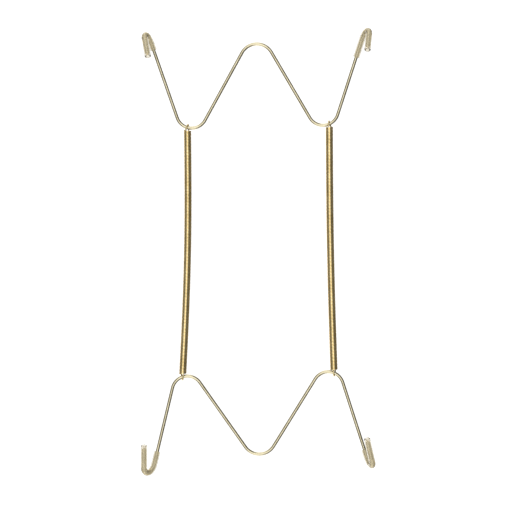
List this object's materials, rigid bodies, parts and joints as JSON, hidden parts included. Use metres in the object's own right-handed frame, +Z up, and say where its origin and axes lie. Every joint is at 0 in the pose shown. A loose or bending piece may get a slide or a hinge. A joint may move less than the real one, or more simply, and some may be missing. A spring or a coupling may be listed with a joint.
{
  "type": "plate hanger",
  "caption": "Wall hanger for a display plate: W-bent brass wires with vinyl-sleeved rim hooks, pulled together by close-wound extension springs.",
  "frame": {"origin": "underside of the top wire's centre bend, where it rests on the nail or screw", "axes": "+Z up as it hangs, -Y towards the plate and the viewer (the hooks point that way), +Y towards the wall, +X to the viewer's right"},
  "size_m": [0.1139, 0.0157, 0.2185],
  "materials": {
    "frame_wire": "polished",
    "spring_wire": "polished",
    "sleeve": "clear gloss"
  },
  "bodies": {
    "top_frame": {"top_wire": "frame_wire", "upper_left_sleeve": "sleeve", "upper_right_sleeve": "sleeve"},
    "left_spring_body": {"left_spring": "spring_wire"},
    "right_spring_body": {"right_spring": "spring_wire"},
    "left_loop_body": {"left_spring_lower_loop": "spring_wire"},
    "right_loop_body": {"right_spring_lower_loop": "spring_wire"},
    "bottom_frame": {"bottom_wire": "frame_wire", "lower_left_sleeve": "sleeve", "lower_right_sleeve": "sleeve"}
  },
  "joints": [
    {"name": "left_spring_fold", "type": "hinge", "parent": "top_frame", "child": "left_spring_body", "pos_m": [-0.03395, 0, -0.04015], "axis": [0.9997, 0, 0.0253], "range_deg": [-120, 120]},
    {"name": "right_spring_fold", "type": "hinge", "parent": "top_frame", "child": "right_spring_body", "pos_m": [0.03555, 0, -0.03839], "axis": [0.9997, 0, 0.0253], "range_deg": [-120, 120]},
    {"name": "left_spring_stretch", "type": "slide", "parent": "left_spring_body", "child": "left_loop_body", "axis": [0, 0, -1], "range_m": [0, 0.07], "stiffness_N_per_m": 450, "deforming": ["left_spring"]},
    {"name": "right_spring_stretch", "type": "slide", "parent": "right_spring_body", "child": "right_loop_body", "axis": [0, 0, -1], "range_m": [0, 0.07], "stiffness_N_per_m": 450, "deforming": ["right_spring"]},
    {"name": "bottom_frame_fold", "type": "hinge", "parent": "left_loop_body", "child": "bottom_frame", "pos_m": [-0.03635, 0, -0.16229], "axis": [0.9997, 0, 0.0261], "range_deg": [-120, 120]}
  ],
  "couplings": [
    {"joint": "right_spring_fold", "follows": "left_spring_fold", "ratio": 1},
    {"joint": "right_spring_stretch", "follows": "left_spring_stretch", "ratio": 1}
  ]
}
